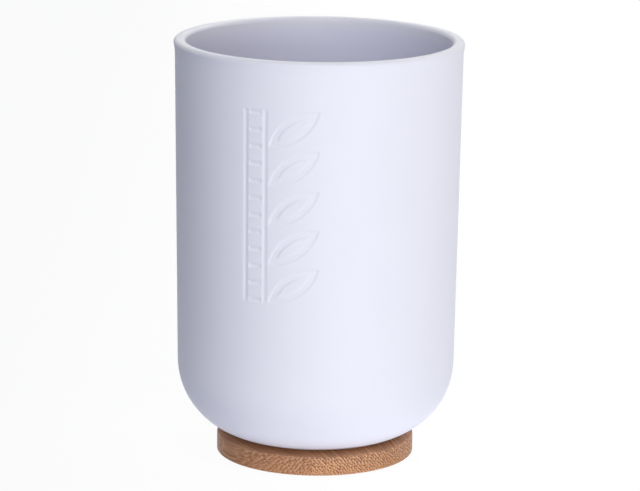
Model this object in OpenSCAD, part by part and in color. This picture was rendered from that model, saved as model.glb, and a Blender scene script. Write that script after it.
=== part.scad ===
// Bathroom tumbler: a moulded white cup with a rounded base on a round bamboo foot.
// Millimetres. The foot's pads stand on z = 0, the axis is Z, and the engraved panel faces -Y.

/* [Cup] */
// Outer diameter over the flared lip
rim_d = 75; // [70:0.5:90]
// Height of the cup from its flat underside to the lip
cup_h = 104.5; // [98:0.5:140]
// Thickness of the wall and the floor
wall_t = 2.8; // [2.6:0.1:4]
// Lean of the wall, in degrees from upright
draft = 0.65; // [0.2:0.05:1.5]
// Radius of the curve between the wall and the flat underside
base_r = 20; // [15:0.5:21]

/* [Rim] */
// Distance that the lip stands out from the line of the wall
flare_out = 0.3; // [0.2:0.05:1]
// Radius of the hollow curve between the wall and the lip
flare_r = 13; // [8:0.5:20]
// Rounding of the lip's outer edge
lip_outer_r = 0.95; // [0.6:0.05:1.3]
// Rounding of the lip's inner edge
lip_inner_r = 1.1; // [0.5:0.1:1.5]

/* [Engraved panel] */
// Depth of the engraving below the wall
panel_depth = 0.2; // [0.1:0.05:0.6]
// Height of the panel's middle above the cup's underside
panel_z = 67.5; // [60:0.5:70]
// Height of the panel
panel_h = 49; // [40:1:54]
// Width of the panel, straight across the front
panel_w = 20; // [18:0.5:26]
// Width of an upright groove
groove_w = 0.8; // [0.6:0.1:1.6]
// Distance between the two upright grooves, middle to middle
groove_pitch = 5.2; // [4:0.1:6]
// Width of a short bar between the upright grooves
bar_w = 3; // [1:0.1:3.8]
// Thickness of a short bar
bar_t = 0.9; // [0.5:0.1:1.5]
// Number of short bars
bar_count = 12; // [6:1:16]
// Number of leaves
leaf_count = 5; // [3:1:5]
// Length of a leaf from tip to tip
leaf_l = 15.4; // [12:0.2:16]
// Width of a leaf
leaf_w = 5.8; // [5:0.2:7]
// Width of the groove that draws a leaf
leaf_groove_w = 1.6; // [1:0.1:1.8]
// Rise of a leaf, in degrees from level
leaf_rise = 35; // [25:1:45]

/* [Foot] */
// Diameter of the bamboo foot
foot_d = 51.6; // [48:0.2:60]
// Thickness of the foot
foot_t = 5; // [4.5:0.5:10]
// Rounding of the foot's edges
foot_edge_r = 0.4; // [0.2:0.1:1]
// Width of a full bamboo strip
strip_w = 20; // [16:0.5:24]
// Distance from the foot's axis to the middle of the middle strip
strip_shift = 1.3; // [-3:0.1:3]
// Direction of the grain, in degrees from the front towards the right
grain_angle = 32; // [0:1:90]

/* [Seat of the cup in the foot] */
// Diameter of the low round seat under the cup
seat_d = 30; // [20:0.5:31]
// Height of the seat
seat_h = 1.2; // [0.6:0.1:1.8]
// Bevel of the seat's lower edge
seat_edge = 0.3; // [0.1:0.1:0.5]
// Clearance round the seat
seat_gap = 0.2; // [0.1:0.05:0.5]
// Thickness of the adhesive disc
glue_t = 0.4; // [0.2:0.1:0.8]
// Margin between the adhesive and the edge of the seat
glue_margin = 0.8; // [0.4:0.1:2]

/* [Anti-slip pads] */
// Diameter of a pad
pad_d = 8; // [6:0.5:9]
// Thickness of a pad
pad_t = 1.2; // [0.9:0.1:1.6]
// Distance that a pad stands out from the foot
pad_out = 0.5; // [0.3:0.1:0.8]
// Rounding of a pad's lower edge
pad_edge_r = 0.25; // [0.1:0.05:0.3]
// Clearance round a pad in its pocket
pad_gap = 0.2; // [0.1:0.05:0.4]
// Distance between a pad and the foot's edge
pad_inset = 3.4; // [2:0.2:6]

/* [Hidden] */

$fn = 180;
// Straight steps in a quarter of a turned curve
arc_steps = 14;
// How far a cutting shape runs past the face it cuts
overrun = 1;
pad_count = 3;

// Levels above the surface that the tumbler stands on
foot_z = pad_out;
cup_z = foot_z + foot_t;

// The cup's outline, in its own frame with the underside at height zero
rim_r = rim_d / 2;
wall_top_r = rim_r - flare_out;
lean = tan(draft);
// Directions along the leaning wall and square out of it
along = [sin(draft), cos(draft)];
outward = [cos(draft), -sin(draft)];
// Middle of the base curve, which the leaning wall leaves without a kink
base_mid = [wall_top_r - base_r * cos(draft) - (cup_h - base_r + base_r * sin(draft)) * lean, base_r];
inner_base_r = base_r - wall_t;

// The lip's outer rounding, and the hollow curve that touches both it and the wall
lip_mid = [rim_r - lip_outer_r, cup_h - lip_outer_r];
lip_depth = (wall_r(lip_mid[1]) - lip_mid[0]) * cos(draft);
flare_h = sqrt(pow(flare_r + lip_outer_r, 2) - pow(flare_r + lip_depth, 2));
flare_mid = [wall_r(lip_mid[1]), lip_mid[1]] + flare_r * outward - (flare_h + lip_depth * lean) * along;
flare_end = atan2(lip_mid[1] - flare_mid[1], lip_mid[0] - flare_mid[0]);

// The panel's layout, across the front from the panel's middle
groove_x = -panel_w / 2 + groove_w / 2;
groove_2_x = groove_x + groove_pitch;
leaf_x = (groove_2_x + groove_w / 2 + panel_w / 2) / 2;
leaf_pitch = (panel_h - leaf_l * sin(leaf_rise)) / (leaf_count - 1);
bar_pitch = (panel_h - bar_t) / (bar_count - 1);

// A leaf lies between two equal arcs that meet at its tips
leaf_arc_r = (pow(leaf_l / 2, 2) + pow(leaf_w / 2, 2)) / leaf_w;
leaf_arc_y = leaf_arc_r - leaf_w / 2;

seat_r = seat_d / 2;
recess_depth = seat_h + glue_t;
strip_edge_left = strip_shift - strip_w / 2;
strip_edge_right = strip_shift + strip_w / 2;

// Points of an arc round a middle point, between two angles in degrees
function arc(middle, r, from, to, steps = arc_steps) =
    [for (i = [0:steps]) middle + r * [cos(from + (to - from) * i / steps), sin(from + (to - from) * i / steps)]];

// Radius of the outer and the inner wall at a height above the underside
function wall_r(z) = base_mid[0] + base_r * cos(draft) + (z - base_r + base_r * sin(draft)) * lean;
function inner_r(z) =
    base_mid[0] + inner_base_r * cos(draft) + (z - base_r + inner_base_r * sin(draft)) * lean;

// Outline of the outside: seat, base curve, leaning wall, flare and the lip's outer edge
outer_outline = concat(
    [[0, -seat_h], [seat_r - seat_edge, -seat_h], [seat_r, -seat_h + seat_edge], [seat_r, 0]],
    arc(base_mid, base_r, -90, -draft),
    arc(flare_mid, flare_r, 180 - draft, flare_end, 6),
    arc(lip_mid, lip_outer_r, flare_end - 180, 90, 8));

// Outline of the inside, from the lip down to the floor
inner_outline = concat(
    arc([inner_r(cup_h - lip_inner_r) + lip_inner_r, cup_h - lip_inner_r], lip_inner_r, 90, 180, 6),
    arc(base_mid, inner_base_r, -draft, -90),
    [[0, wall_t]]);

// Two upright grooves
module upright_grooves() {
    for (x = [groove_x, groove_2_x])
        translate([x - groove_w / 2, -panel_h / 2]) square([groove_w, panel_h]);
}

// A ladder of short bars between the grooves
module short_bars() {
    for (i = [0:bar_count - 1])
        translate([(groove_x + groove_2_x - bar_w) / 2, -panel_h / 2 + i * bar_pitch]) square([bar_w, bar_t]);
}

// Leaf shape, drawn in by an inset from its full size
module leaf_shape(inset) {
    intersection() {
        translate([0, leaf_arc_y]) circle(leaf_arc_r - inset);
        translate([0, -leaf_arc_y]) circle(leaf_arc_r - inset);
    }
}

// A column of leaves, each drawn as a closed groove with a raised middle
module leaves() {
    for (i = [0:leaf_count - 1])
        translate([leaf_x, (i - (leaf_count - 1) / 2) * leaf_pitch]) rotate(leaf_rise)
            difference() {
                leaf_shape(0);
                leaf_shape(leaf_groove_w);
            }
}

// What the engraving takes away: the panel's pattern, cut to one depth below the leaning wall
module engraving() {
    low = panel_z - panel_h / 2 - overrun;
    high = panel_z + panel_h / 2 + overrun;
    intersection() {
        rotate_extrude() polygon([[wall_r(low) - panel_depth, low], [wall_r(low) + overrun, low],
            [wall_r(high) + overrun, high], [wall_r(high) - panel_depth, high]]);
        translate([0, 0, panel_z]) rotate([90, 0, 0]) linear_extrude(rim_r + overrun) {
            upright_grooves();
            short_bars();
            leaves();
        }
    }
}

module cup() {
    color([0.93, 0.93, 0.98]) translate([0, 0, cup_z]) difference() {
        rotate_extrude() polygon(concat(outer_outline, inner_outline));
        engraving();
    }
}

// Places of the pads, spread evenly from the grain's direction
module at_pad(i) {
    rotate(grain_angle + 360 / pad_count * (i - 1)) translate([0, pad_inset + (pad_d - foot_d) / 2]) children();
}

// The whole foot as turned: a disc with soft edges, a recess for the seat and three pad pockets
module foot_disc() {
    difference() {
        translate([0, 0, foot_z]) rotate_extrude() polygon(concat(
            [[0, 0]],
            arc([foot_d / 2 - foot_edge_r, foot_edge_r], foot_edge_r, -90, 0, 4),
            arc([foot_d / 2 - foot_edge_r, foot_t - foot_edge_r], foot_edge_r, 0, 90, 4),
            [[0, foot_t]]));
        translate([0, 0, cup_z - recess_depth])
            cylinder(h = recess_depth + overrun, r = seat_r + seat_gap);
        for (i = [1:pad_count])
            at_pad(i) translate([0, 0, foot_z - overrun])
                cylinder(h = pad_t - pad_out + overrun, d = pad_d + 2 * pad_gap);
    }
}

// The part of the foot between two edges, measured across the grain
module foot_strip(from, to) {
    intersection() {
        foot_disc();
        rotate(grain_angle) translate([from, -foot_d, 0]) cube([to - from, 2 * foot_d, cup_z + overrun]);
    }
}

module foot_strip_left() {
    color([0.64, 0.43, 0.31]) foot_strip(-foot_d, strip_edge_left);
}

module foot_strip_middle() {
    color([0.69, 0.48, 0.35]) foot_strip(strip_edge_left, strip_edge_right);
}

module foot_strip_right() {
    color([0.66, 0.45, 0.32]) foot_strip(strip_edge_right, foot_d);
}

module adhesive_disc() {
    color([0.93, 0.88, 0.74]) translate([0, 0, cup_z - recess_depth])
        cylinder(h = glue_t, r = seat_r - glue_margin);
}

module anti_slip_pad(i) {
    color([0.82, 0.84, 0.86]) at_pad(i) rotate_extrude() polygon(concat(
        [[0, 0]],
        arc([pad_d / 2 - pad_edge_r, pad_edge_r], pad_edge_r, -90, 0, 4),
        [[pad_d / 2, pad_t], [0, pad_t]]));
}

cup();
foot_strip_left();
foot_strip_middle();
foot_strip_right();
adhesive_disc();
anti_slip_pad(1);  // anti_slip_pad_1
anti_slip_pad(2);  // anti_slip_pad_2
anti_slip_pad(3);  // anti_slip_pad_3
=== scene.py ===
import math
import bmesh
import bpy
from mathutils import Matrix, Vector


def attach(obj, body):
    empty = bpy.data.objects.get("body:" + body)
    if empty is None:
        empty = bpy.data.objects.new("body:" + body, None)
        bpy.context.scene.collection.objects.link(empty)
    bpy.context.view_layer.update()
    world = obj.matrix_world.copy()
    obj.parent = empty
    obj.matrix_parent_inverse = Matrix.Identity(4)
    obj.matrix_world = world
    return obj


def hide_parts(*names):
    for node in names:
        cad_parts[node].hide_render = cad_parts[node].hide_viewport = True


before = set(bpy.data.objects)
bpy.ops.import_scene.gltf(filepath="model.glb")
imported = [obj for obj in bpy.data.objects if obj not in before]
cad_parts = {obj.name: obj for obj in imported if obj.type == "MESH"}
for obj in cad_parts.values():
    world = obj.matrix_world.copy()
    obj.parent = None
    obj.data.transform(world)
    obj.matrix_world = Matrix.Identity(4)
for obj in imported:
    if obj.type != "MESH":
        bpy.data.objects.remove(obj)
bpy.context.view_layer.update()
scene = bpy.context.scene
scene.view_settings.view_transform = "Standard"

# The camera stands a little to the right of the engraved panel and looks down over the rim.
# It is a long lens far away, so the wall's two sides stay almost parallel.
mm = 0.001
camera_turn = math.radians(14.15)
camera_distance = 850 * mm
camera_height = 251.87 * mm
camera_pan = math.radians(0.053)
camera_dip = math.radians(13.016)
camera_roll = math.radians(0.694)
camera = bpy.data.objects.new("camera", bpy.data.cameras.new("camera"))
scene.collection.objects.link(camera)
camera.data.sensor_width = 36
camera.data.lens = 188.1
camera.data.clip_start = 0.05
camera.location = (
    camera_distance * math.sin(camera_turn),
    -camera_distance * math.cos(camera_turn),
    camera_height,
)
aim = Matrix.Rotation(camera_turn - camera_pan, 3, "Z")
aim = aim @ Matrix.Rotation(math.radians(90) - camera_dip, 3, "X")
camera.rotation_euler = (aim @ Matrix.Rotation(camera_roll, 3, "Z")).to_euler()
scene.camera = camera


# The surroundings are white where they are seen, directly or in a reflection.
# They light the tumbler evenly from all sides at a lower level.
class Wire:
    """The output of a node, which takes part in sums as a number does."""

    def __init__(self, paint, socket):
        self.paint = paint
        self.socket = socket

    def out(self, name):
        return Wire(self.paint, self.socket.node.outputs[name])

    def calculate(self, operation, first, second=0.0, clamp=False):
        settings = {"operation": operation, "use_clamp": clamp}
        return self.paint.node("ShaderNodeMath", settings, {0: first, 1: second})

    def clamped(self):
        return self.calculate("ADD", self, 0.0, True)

    def at_least(self, other):
        return self.calculate("MAXIMUM", self, other)

    def __add__(self, other):
        return self.calculate("ADD", self, other)

    def __sub__(self, other):
        return self.calculate("SUBTRACT", self, other)

    def __rsub__(self, other):
        return self.calculate("SUBTRACT", other, self)

    def __mul__(self, other):
        return self.calculate("MULTIPLY", self, other)

    def __truediv__(self, other):
        return self.calculate("DIVIDE", self, other)

    def __pow__(self, other):
        return self.calculate("POWER", self, other)

    def __abs__(self):
        return self.calculate("ABSOLUTE", self)

    __radd__ = __add__
    __rmul__ = __mul__


class Paint:
    """A material's or the world's nodes, added one at a time."""

    def __init__(self, owner):
        owner.use_nodes = True
        self.tree = owner.node_tree
        self.tree.nodes.clear()

    def node(self, kind, settings=None, sockets=None):
        made = self.tree.nodes.new(kind)
        for name, value in (settings or {}).items():
            setattr(made, name, value)
        for name, value in (sockets or {}).items():
            if isinstance(value, Wire):
                self.tree.links.new(value.socket, made.inputs[name])
            else:
                made.inputs[name].default_value = value
        return Wire(self, made.outputs[0]) if made.outputs else None

    def blend(self, share, first, second):
        settings = {"data_type": "RGBA"}
        made = self.node("ShaderNodeMix", settings, {0: share, 6: first, 7: second})
        return Wire(self, made.socket.node.outputs[2])


def seen_rays(paint):
    """One for rays that show the surroundings, nought for rays that carry light."""
    rays = paint.node("ShaderNodeLightPath")
    seen = rays.out("Is Camera Ray").at_least(rays.out("Is Glossy Ray"))
    return seen.at_least(rays.out("Is Transmission Ray"))


world_light = (0.94, 0.96, 1.0, 1)
world_strength = 0.02
scene.world = bpy.data.worlds.new("surroundings")
sky = Paint(scene.world)
seen_white = sky.node("ShaderNodeBackground", None, {"Color": (1, 1, 1, 1), "Strength": 1.0})
soft_light = sky.node(
    "ShaderNodeBackground", None, {"Color": world_light, "Strength": world_strength}
)
sky_mix = sky.node("ShaderNodeMixShader", None, {0: seen_rays(sky), 1: soft_light, 2: seen_white})
sky.node("ShaderNodeOutputWorld", None, {"Surface": sky_mix})

# The floor is a wide light table of opal white plastic. It glows faintly on the right, which
# lights the cup from below, and gives back less light, and cooler light, on the left. It shows
# white apart from the tumbler's own faint shadow.
floor_reach = 6.0
floor_colour = (0.81, 0.83, 0.93, 1)
floor_cool = (0.36, 0.38, 0.54, 1)
floor_glow = (0.427, 0.432, 0.432, 1)
glow_start = -120 * mm
glow_full = 40 * mm
floor_white = 0.94
floor_mesh = bpy.data.meshes.new("floor")
bm = bmesh.new()
bmesh.ops.create_grid(bm, x_segments=1, y_segments=1, size=floor_reach)
bm.to_mesh(floor_mesh)
bm.free()
floor = bpy.data.objects.new("floor", floor_mesh)
scene.collection.objects.link(floor)
floor.data.materials.append(bpy.data.materials.new("floor_board"))
board = Paint(floor.data.materials[0])
to_right = board.node(
    "ShaderNodeVectorMath",
    {"operation": "DOT_PRODUCT"},
    {
        0: board.node("ShaderNodeTexCoord").out("Object"),
        1: (math.cos(camera_turn), math.sin(camera_turn), 0),
    },
).out("Value")
# The glow sets in and ends softly
glow_share = ((to_right - glow_start) / (glow_full - glow_start)).clamped()
glow_share = glow_share * glow_share * (3 - glow_share * 2)
matt = board.node(
    "ShaderNodeBsdfDiffuse", None, {"Color": board.blend(glow_share, floor_cool, floor_colour)}
)
table = board.node(
    "ShaderNodeEmission", None, {"Color": board.blend(glow_share, (0, 0, 0, 1), floor_glow)}
)
lit = board.node("ShaderNodeAddShader", None, {0: matt, 1: table})
shown = board.node("ShaderNodeEmission", None, {"Color": (1, 1, 1, 1), "Strength": 1.0})
board_mix = board.node(
    "ShaderNodeMixShader", None, {0: seen_rays(board) * floor_white, 1: lit, 2: shown}
)
board.node("ShaderNodeOutputMaterial", None, {"Surface": board_mix})


# Soft boxes stand low and high in front and to the right, and a weak cool one fills from the
# left. One hangs over the mouth, and three behind the tumbler light the back and the rim.
tumbler_middle = Vector((0, 0, 0.055))
lamp_distance = 1.25
warm = (1.0, 0.985, 0.94)
neutral = (1.0, 1.0, 1.0)
cool = (0.45, 0.62, 1.0)
lavender = (0.96, 0.96, 1.0)
tall_box = (0.55, 0.4)
flat_box = (0.55, 0.24)


def soft_box(name, turn, rise, size, power, colour):
    """A lamp that faces the tumbler, turned from the camera to the right and raised, in degrees."""
    data = bpy.data.lights.new(name, "AREA")
    data.shape = "RECTANGLE"
    data.size, data.size_y = size
    data.energy = power
    data.color = colour
    lamp = bpy.data.objects.new(name, data)
    scene.collection.objects.link(lamp)
    facing = Matrix.Rotation(camera_turn + math.radians(turn), 3, "Z")
    facing = facing @ Matrix.Rotation(math.radians(90 - rise), 3, "X")
    lamp.location = tumbler_middle + facing @ Vector((0, 0, lamp_distance))
    lamp.rotation_euler = facing.to_euler()


soft_box("low_box", 0, 3, flat_box, 1.3, neutral)
soft_box("low_side_box", 30, 3, flat_box, 2.25, neutral)
soft_box("front_box", 0, 16, tall_box, 3.35, warm)
soft_box("side_box", 30, 16, tall_box, 0.35, neutral)
soft_box("left_box", -30, 16, tall_box, 0.85, cool)
soft_box("high_box", 0, 60, tall_box, 5.0, lavender)
soft_box("top_box", 180, 70, tall_box, 1.3, lavender)
soft_box("back_box", 170, 35, tall_box, 2.8, neutral)
soft_box("far_box", 130, 35, tall_box, 3.4, neutral)
soft_box("edge_box", -135, 30, tall_box, 1.3, warm)

# The cup is one injection moulding in white plastic with a lavender cast. Its wall leans out
# slightly and ends in a flared lip, and a low round seat under the floor locates it in the foot.
cup_foot = 5.5 * mm
cup_height = 104.5 * mm
rim_radius = 37.5 * mm
wall = 2.8 * mm
lean = math.radians(0.65)
base_radius = 20 * mm
flare_out = 0.3 * mm
flare_radius = 13 * mm
lip_radius = 0.95 * mm
lip_inner_radius = 1.1 * mm
seat_radius = 15 * mm
seat_height = 1.2 * mm
seat_bevel = 0.3 * mm

# Middle of the base curve, which the leaning wall leaves without a kink
base_x = rim_radius - flare_out - base_radius * math.cos(lean)
base_x -= (cup_height - base_radius + base_radius * math.sin(lean)) * math.tan(lean)
base_z = cup_foot + base_radius
inner_base_radius = base_radius - wall


def wall_radius(z, curve=base_radius):
    """Radius of the leaning wall at a height, outside or inside."""
    start = base_z - curve * math.sin(lean)
    return base_x + curve * math.cos(lean) + (z - start) * math.tan(lean)


class Outline:
    """Half of a turned piece's section, drawn from point to point on the XZ plane."""

    def __init__(self, x, z):
        self.bm = bmesh.new()
        self.tip = self.bm.verts.new((x, 0, z))

    def line(self, x, z, steps=1):
        start = self.tip.co.copy()
        for step in range(steps):
            made = bmesh.ops.extrude_vert_indiv(self.bm, verts=[self.tip])
            self.tip = made["verts"][0]
            self.tip.co = start.lerp(Vector((x, 0, z)), (step + 1) / steps)

    def arc(self, x, z, angle, steps):
        turned = {"cent": Vector((x, 0, z)), "axis": (0, -1, 0), "angle": angle}
        made = bmesh.ops.spin(self.bm, geom=[self.tip], steps=steps, use_merge=False, **turned)
        self.tip = [v for v in made["geom_last"] if isinstance(v, bmesh.types.BMVert)][0]

    def turn(self, angle, steps, wedges, section=None):
        """Spins the section into a narrow wedge, and repeats the wedge up to the whole angle."""
        section = section or self.bm.verts[:] + self.bm.edges[:]
        old = set(self.bm.faces)
        axis = {"cent": (0, 0, 0), "axis": (0, 0, 1), "use_merge": False}
        bmesh.ops.spin(self.bm, geom=section, angle=angle / wedges, steps=steps, **axis)
        wedge = [face for face in self.bm.faces if face not in old]
        rest = angle - angle / wedges
        bmesh.ops.spin(self.bm, geom=wedge, angle=rest, steps=wedges - 1, use_duplicate=True, **axis)


weld_distance = 0.0005 * mm


def finished(name, bm, material, sharp_angle):
    """Closes the seam and the poles, turns the faces outwards and makes the piece."""
    bmesh.ops.remove_doubles(bm, verts=bm.verts, dist=weld_distance)
    bmesh.ops.recalc_face_normals(bm, faces=bm.faces)
    mesh = bpy.data.meshes.new(name)
    bm.to_mesh(mesh)
    bm.free()
    for face in mesh.polygons:
        face.use_smooth = True
    mesh.set_sharp_from_angle(angle=math.radians(sharp_angle))
    mesh.materials.append(material)
    piece = bpy.data.objects.new(name, mesh)
    scene.collection.objects.link(piece)
    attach(piece, "root")
    return piece


panel_middle = cup_foot + 67.5 * mm
panel_height = 49 * mm
panel_width = 20 * mm
panel_depth = 0.2 * mm
panel_margin = 1.5 * mm
ring_gap = 0.2 * mm

# The flare is a hollow curve, whose circle lies outside and touches the wall and the lip's circle
lip_x = rim_radius - lip_radius
lip_z = cup_foot + cup_height - lip_radius
lip_depth = (wall_radius(lip_z) - lip_x) * math.cos(lean)
flare_rise = math.sqrt((flare_radius + lip_radius) ** 2 - (flare_radius + lip_depth) ** 2)
flare_back = flare_rise + lip_depth * math.tan(lean)
flare_x = wall_radius(lip_z) + flare_radius * math.cos(lean) - flare_back * math.sin(lean)
flare_z = lip_z - flare_radius * math.sin(lean) - flare_back * math.cos(lean)
flare_end = math.atan2(lip_z - flare_z, lip_x - flare_x)
flare_start_z = flare_z + flare_radius * math.sin(lean)

cup_outline = Outline(0, cup_foot - seat_height)
cup_outline.line(seat_radius - seat_bevel, cup_foot - seat_height, 4)
cup_outline.line(seat_radius, cup_foot - seat_height + seat_bevel)
cup_outline.line(seat_radius, cup_foot)
cup_outline.line(base_x, cup_foot)
cup_outline.arc(base_x, base_z, math.radians(90) - lean, 24)
panel_low = panel_middle - panel_height / 2 - panel_margin
panel_high = panel_middle + panel_height / 2 + panel_margin
cup_outline.line(wall_radius(panel_low), panel_low, 4)
cup_outline.line(wall_radius(panel_high), panel_high, round((panel_high - panel_low) / ring_gap))
cup_outline.line(wall_radius(flare_start_z), flare_start_z, 2)
cup_outline.arc(flare_x, flare_z, flare_end - math.pi + lean, 8)
cup_outline.arc(lip_x, lip_z, math.radians(90) - flare_end + math.pi, 14)
inner_top_z = cup_foot + cup_height - lip_inner_radius
inner_top_x = wall_radius(inner_top_z, inner_base_radius)
cup_outline.line(inner_top_x + lip_inner_radius, cup_foot + cup_height)
cup_outline.arc(inner_top_x + lip_inner_radius, inner_top_z, math.radians(90), 10)
inner_low_z = base_z - inner_base_radius * math.sin(lean)
cup_outline.line(wall_radius(inner_low_z, inner_base_radius), inner_low_z, 12)
cup_outline.arc(base_x, base_z, lean - math.radians(90), 20)
cup_outline.line(0, cup_foot + wall, 4)

# The turned wall has close columns in front, where the panel is, and wider ones round the back
front_angle = 2 * math.asin((panel_width / 2 + panel_margin) / wall_radius(panel_middle))
front_section = cup_outline.bm.verts[:] + cup_outline.bm.edges[:]
back_section = bmesh.ops.duplicate(cup_outline.bm, geom=front_section)["geom"]
for section, turned_by in ((front_section, -front_angle / 2), (back_section, front_angle / 2)):
    bmesh.ops.rotate(
        cup_outline.bm,
        verts=[part for part in section if isinstance(part, bmesh.types.BMVert)],
        cent=(0, 0, 0),
        matrix=Matrix.Rotation(math.radians(-90) + turned_by, 3, "Z"),
    )
cup_outline.turn(front_angle, 10, 12, front_section)
cup_outline.turn(math.radians(360) - front_angle, 9, 14, back_section)

# The panel is engraved in the mould as two upright grooves with short bars between them, and a
# column of leaves, each drawn by one groove. All of it is equally deep, with soft edges. The
# pattern's own lengths are in millimetres.
groove_width = 0.8
groove_xs = (-9.6, -4.4)
bar_x = sum(groove_xs) / 2
bar_width = 3.0
bar_thickness = 0.9
bar_count = 12
bar_pitch = (panel_height / mm - bar_thickness) / (bar_count - 1)
leaf_x = 3.0
leaf_length = 15.4
leaf_width = 5.8
leaf_groove = 1.6
leaf_rise = math.radians(35)
leaf_count = 5
leaf_pitch = (panel_height / mm - leaf_length * math.sin(leaf_rise)) / (leaf_count - 1)
leaf_curve = ((leaf_length / 2) ** 2 + (leaf_width / 2) ** 2) / leaf_width
soft_edge = 0.33
groove_soft_edge = 0.5


def bar_gap(x, z, width, height):
    """How far a point lies outside an upright rectangle, in millimetres, or inside if negative."""
    return max(abs(x) - width / 2, abs(z) - height / 2)


def leaf_gap(x, z):
    """How far a point lies outside the groove that draws a leaf."""
    along = x * math.cos(leaf_rise) + z * math.sin(leaf_rise)
    across = abs(z * math.cos(leaf_rise) - x * math.sin(leaf_rise))
    edge = math.hypot(along, across + leaf_curve - leaf_width / 2) - leaf_curve
    return max(edge, -edge - leaf_groove)


def engraved_gap(x, z):
    """Distance of a point on the front from the nearest shape, shortened for softer edges."""
    gaps = [bar_gap(x - middle, z, groove_width, panel_height / mm) for middle in groove_xs]
    gaps = [gap * soft_edge / groove_soft_edge for gap in gaps]
    bar = min(max(round(z / bar_pitch + (bar_count - 1) / 2), 0), bar_count - 1)
    bar_z = (bar - (bar_count - 1) / 2) * bar_pitch
    gaps.append(bar_gap(x - bar_x, z - bar_z, bar_width, bar_thickness))
    for leaf in range(leaf_count):
        gaps.append(leaf_gap(x - leaf_x, z - (leaf - (leaf_count - 1) / 2) * leaf_pitch))
    return min(gaps)


for vert in cup_outline.bm.verts:
    radius = math.hypot(vert.co.x, vert.co.y)
    in_panel = panel_low < vert.co.z < panel_high and abs(vert.co.x) < panel_width / 2 + panel_margin
    if vert.co.y < 0 and in_panel and radius > wall_radius(vert.co.z) - wall / 2:
        gap = engraved_gap(vert.co.x / mm, (vert.co.z - panel_middle) / mm)
        share = min(max(0.5 - gap / (2 * soft_edge), 0), 1)
        inward = panel_depth * share * share * (3 - 2 * share) / radius
        vert.co.x -= vert.co.x * inward
        vert.co.y -= vert.co.y * inward

# The mould is matt outside and polished inside, so the inside is smoother. Inside, its colour is
# painted a little darker and bluer as painted shade. The smoother finish begins in the middle of
# the wall, and the painted shade a little below the mouth
white = (0.83, 0.83, 0.888, 1)
white_thin = (0.805, 0.805, 0.868, 1)
# Colour of the painted shade inside the cup
white_in_painted_shade = (0.775, 0.775, 0.885, 1)
inside_edge = 0.4 * mm
mouth_shade_fade = 3 * mm
mouth_shade_start = 0.33
matt_roughness = 0.52
polish = 0.06
satin_change = 0.06
cup_white = bpy.data.materials.new("cup_white")
plastic = Paint(cup_white)
place = plastic.node("ShaderNodeTexCoord").out("Object")
split = plastic.node("ShaderNodeSeparateXYZ", None, {0: place})
height = split.out("Z")
from_axis = (split.out("X") ** 2 + split.out("Y") ** 2) ** 0.5
above_curve = (height - base_z).at_least(0)
below_curve = (base_z - height).at_least(0)
beyond_curve = (from_axis - base_x).at_least(0)
from_curve = (beyond_curve ** 2 + below_curve ** 2) ** 0.5
middle_of_wall = above_curve * math.tan(lean) + (base_radius - wall / 2)
inside = ((middle_of_wall - from_curve) / inside_edge + 0.5).clamped()
# The painted shade inside the cup sets in a little below the mouth
shade_below_mouth = ((cup_foot + cup_height - height) / mouth_shade_fade - mouth_shade_start).clamped()
cloud = plastic.node("ShaderNodeTexNoise", None, {"Vector": place, "Scale": 45.0, "Detail": 3.0})
satin = plastic.node("ShaderNodeTexNoise", None, {"Vector": place, "Scale": 2600.0, "Detail": 2.0})
white_outside = plastic.blend(cloud, white, white_thin)
white_with_inside_shade = plastic.blend(inside * shade_below_mouth, white_outside, white_in_painted_shade)
white_rough = matt_roughness - inside * polish + (satin - 0.5) * satin_change
white_grain = plastic.node(
    "ShaderNodeBump", None, {"Strength": 0.12, "Distance": 0.02 * mm, "Height": satin}
)
white_finish = plastic.node(
    "ShaderNodeBsdfPrincipled",
    None,
    {
        "Base Color": white_with_inside_shade,
        "Roughness": white_rough,
        "IOR": 1.49,
        "Specular IOR Level": 0.3,
        "Normal": white_grain,
    },
)
plastic.node("ShaderNodeOutputMaterial", None, {"Surface": white_finish})

cup = finished("cup_body", cup_outline.bm, cup_white, 30)
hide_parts("cup")

# The foot is a disc turned from a board of bamboo strips that are glued edge to edge. The bamboo
# is steamed to caramel brown, and a thin satin lacquer seals it.
grain_turn = math.radians(32)
strip_joints = (-8.7 * mm, 11.3 * mm)
foot_low = 0.5 * mm
foot_thickness = 5 * mm
bamboo_dark = (0.19, 0.065, 0.028, 1)
bamboo_mid = (0.505, 0.232, 0.104, 1)
bamboo_light = (0.66, 0.34, 0.166, 1)
# Paler colour of the foot's top: partly the planed face's own tone, partly painted light
bamboo_planed_and_lit = (0.86, 0.47, 0.255, 1)
# Colour of the painted highlight beside each bundle
bamboo_highlight = (0.94, 0.63, 0.39, 1)
bundle_edge = 0.13
joint_reach = 0.12 * mm
planed_and_lit_share = 0.8
highlight_share = 0.6
bundle_share = 0.8
joint_share = 0.3
# Share of the painted shade at the disc's long sides
side_shade_share = 0.24
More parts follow.
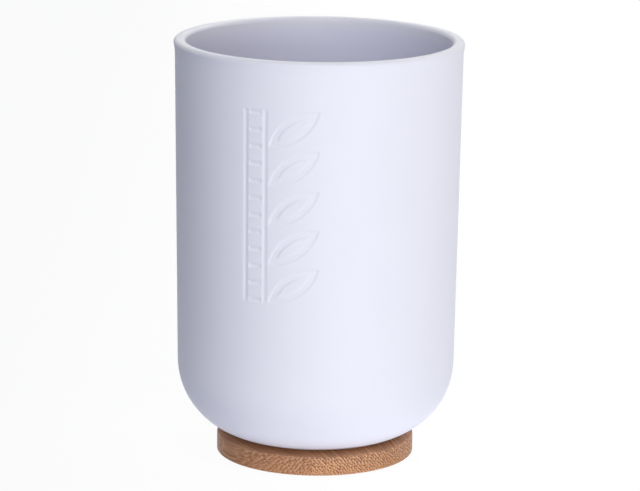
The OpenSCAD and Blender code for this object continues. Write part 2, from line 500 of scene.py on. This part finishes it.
# Each strip's place in the pattern, the turns in degrees of its fibres and of its rows of bundles,
# and its tone
strips = {
    "foot_strip_left": (0.013, 12, -30, 0.8),
    "foot_strip_middle": (0.047, 0, 40, 1.0),
    "foot_strip_right": (0.082, -5, 40, 0.87),
}
for strip, (shift, fibre_turn, row_turn, tone) in strips.items():
    wood = bpy.data.materials.new(strip + "_bamboo")
    bamboo = Paint(wood)
    place = bamboo.node("ShaderNodeTexCoord").out("Object")
    turned = bamboo.node(
        "ShaderNodeMapping", None, {"Vector": place, "Rotation": (0, 0, -grain_turn)}
    )
    across = bamboo.node("ShaderNodeSeparateXYZ", None, {0: turned}).out("X")
    split = bamboo.node("ShaderNodeSeparateXYZ", None, {0: place})
    level = (split.out("Z") - foot_low) / foot_thickness
    # A strip's own fibres lie a little askew, and show most strongly where they are cut across
    fibre_angle = grain_turn + math.radians(fibre_turn)
    along = bamboo.node(
        "ShaderNodeMapping", None, {"Vector": place, "Rotation": (0, 0, -fibre_angle)}
    )
    normal = bamboo.node("ShaderNodeTexCoord").out("Normal")
    facing = bamboo.node(
        "ShaderNodeVectorMath",
        {"operation": "DOT_PRODUCT"},
        {0: normal, 1: (math.sin(fibre_angle), -math.cos(fibre_angle), 0)},
    )
    cut_end = abs(facing.out("Value"))
    # Fibre bundles run the whole length of a strip, so they show as dots at its end
    straight = bamboo.node("ShaderNodeMapping", None, {"Vector": along, "Scale": (1, 0.12, 1)})
    wander = bamboo.node(
        "ShaderNodeTexNoise", None, {"Vector": straight, "Scale": 160.0, "Detail": 1.0}
    )
    bent = bamboo.node(
        "ShaderNodeVectorMath",
        {"operation": "MULTIPLY_ADD"},
        {0: wander.out("Color"), 1: (0.8 * mm, 0, 0.25 * mm), 2: along},
    )
    # Each dark bundle has a pale fleck beside it, a painted highlight as of its relief
    bundle_and_highlight = []
    for aside, size in ((0, 0.2), (0.3 * mm, 0.16)):
        bundle_place = bamboo.node(
            "ShaderNodeMapping",
            None,
            {
                "Vector": bent,
                "Location": (shift + aside, shift, 0),
                "Rotation": (math.radians(90), 0, math.radians(row_turn)),
                "Scale": (1, 1, 1.1),
            },
        )
        bundles = bamboo.node(
            "ShaderNodeTexVoronoi",
            {"feature": "F1", "voronoi_dimensions": "2D"},
            {"Vector": bundle_place, "Scale": 1400.0, "Randomness": 0.65},
        )
        chance = bamboo.node("ShaderNodeSeparateXYZ", None, {0: bundles.out("Color")}).out("X")
        reach = level * 0.2 + chance * 0.12 + size
        shape = ((reach - bundles.out("Distance")) / bundle_edge + 0.5).clamped()
        bundle_and_highlight.append(shape * (chance * 0.6 + 0.5) * (cut_end * 0.5 + 0.5))
    bundle, bundle_highlight = bundle_and_highlight
    fibre_place = bamboo.node(
        "ShaderNodeMapping",
        None,
        {"Vector": bent, "Location": (shift, 0, shift), "Scale": (1, 0.03, 1)},
    )
    fibre = bamboo.node(
        "ShaderNodeTexNoise", None, {"Vector": fibre_place, "Scale": 3200.0, "Detail": 3.0}
    )
    band = bamboo.node(
        "ShaderNodeTexNoise", None, {"Vector": fibre_place, "Scale": 420.0, "Detail": 2.0}
    )
    ground = bamboo.blend(((band - 0.5) * 1.6 + 0.62).clamped(), bamboo_mid, bamboo_light)
    upward = bamboo.node("ShaderNodeSeparateXYZ", None, {0: normal}).out("Z").clamped()
    # Upward faces are painted lighter: partly the planed face's paler tone, partly painted light
    # against the shade under the cup
    planed_and_lit_top = bamboo.blend(upward * planed_and_lit_share, ground, bamboo_planed_and_lit)
    fine = bamboo.blend(((fibre - 0.5) * 2.2 + 0.3).clamped(), planed_and_lit_top, bamboo_mid)
    # Pale flecks beside the bundles are painted highlights
    highlighted = bamboo.blend(bundle_highlight * highlight_share, fine, bamboo_highlight)
    spotted = bamboo.blend(bundle * bundle_share, highlighted, bamboo_dark)
    joint_left = 1 - (abs(across - strip_joints[0]) / joint_reach).clamped()
    joint_right = 1 - (abs(across - strip_joints[1]) / joint_reach).clamped()
    joint = joint_left.at_least(joint_right)
    jointed = bamboo.blend(joint * joint_share, spotted, bamboo_dark)
    # Towards its long sides, where it is turned along the fibres, the disc is darkened by painted
    # shade
    uncut = 1 - cut_end
    long_side_shade = uncut * uncut * (1 - upward)
    side_shaded = bamboo.blend(long_side_shade * side_shade_share, jointed, bamboo_dark)
    toned = bamboo.blend(1 - tone, side_shaded, bamboo_dark)
    relief = fibre * 0.4 - bundle * 0.6 - joint * 0.8
    surface = bamboo.node(
        "ShaderNodeBump", None, {"Strength": 0.25, "Distance": 0.03 * mm, "Height": relief}
    )
    finish = bamboo.node(
        "ShaderNodeBsdfPrincipled",
        None,
        {
            "Base Color": toned,
            "Roughness": 0.52 + bundle * 0.12,
            "Specular IOR Level": 0.25,
            "Coat Weight": 0.12 - bundle * 0.1,
            "Coat Roughness": 0.3,
            "Normal": surface,
        },
    )
    bamboo.node("ShaderNodeOutputMaterial", None, {"Surface": finish})
    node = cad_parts[strip]
    node.data.materials.clear()
    node.data.materials.append(wood)

# The adhesive is a cured film of clear yellowish glue in the foot's recess. The cup's seat
# is pressed into it, so it is sealed all round and only shows if the cup is taken off.
glue_thin = (0.80, 0.72, 0.50, 1)
glue_thick = (0.72, 0.62, 0.38, 1)
glue_finish = bpy.data.materials.new("glue_film")
glue = Paint(glue_finish)
place = glue.node("ShaderNodeTexCoord").out("Object")
smear = glue.node("ShaderNodeTexNoise", None, {"Vector": place, "Scale": 240.0, "Detail": 3.0})
glue_colour = glue.blend(smear, glue_thin, glue_thick)
glue_ripple = glue.node(
    "ShaderNodeBump", None, {"Strength": 0.3, "Distance": 0.05 * mm, "Height": smear}
)
glue_shine = glue.node(
    "ShaderNodeBsdfPrincipled",
    None,
    {"Base Color": glue_colour, "Roughness": 0.3 + smear * 0.2, "Normal": glue_ripple},
)
glue.node("ShaderNodeOutputMaterial", None, {"Surface": glue_shine})
glue_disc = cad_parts["adhesive_disc"]
glue_disc.data.materials.clear()
glue_disc.data.materials.append(glue_finish)

# Three discs of cloudy soft elastomer sit in pockets under the foot, self-adhesive side up.
# They stand out by half a millimetre, and their lower edges are rounded by the die.
pad_radius = 4 * mm
pad_thickness = 1.2 * mm
pad_edge = 0.25 * mm
pad_ring = 18.4 * mm
pad_cloudy = (0.58, 0.61, 0.64, 1)
pad_clear = (0.68, 0.71, 0.74, 1)
pad_rubber = bpy.data.materials.new("pad_rubber")
rubber = Paint(pad_rubber)
place = rubber.node("ShaderNodeTexCoord").out("Object")
haze = rubber.node("ShaderNodeTexNoise", None, {"Vector": place, "Scale": 700.0, "Detail": 4.0})
rubber_colour = rubber.blend(haze, pad_cloudy, pad_clear)
rubber_skin = rubber.node(
    "ShaderNodeBump", None, {"Strength": 0.25, "Distance": 0.04 * mm, "Height": haze}
)
rubber_finish = rubber.node(
    "ShaderNodeBsdfPrincipled",
    None,
    {"Base Color": rubber_colour, "Roughness": 0.42 + haze * 0.2, "Normal": rubber_skin},
)
rubber.node("ShaderNodeOutputMaterial", None, {"Surface": rubber_finish})
for number in (1, 2, 3):
    pad_outline = Outline(0, 0)
    pad_outline.line(pad_radius - pad_edge, 0, 4)
    pad_outline.arc(pad_radius - pad_edge, pad_edge, math.radians(90), 6)
    pad_outline.line(pad_radius, pad_thickness, 2)
    pad_outline.line(0, pad_thickness, 4)
    pad_outline.turn(math.radians(360), 8, 9)
    around = grain_turn + math.radians(120 * (number - 1))
    pad_place = Vector((pad_ring * math.sin(around), -pad_ring * math.cos(around), 0))
    bmesh.ops.translate(pad_outline.bm, verts=pad_outline.bm.verts, vec=pad_place)
    pad = finished(f"pad_{number}", pad_outline.bm, pad_rubber, 40)
    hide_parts(f"anti_slip_pad_{number}")
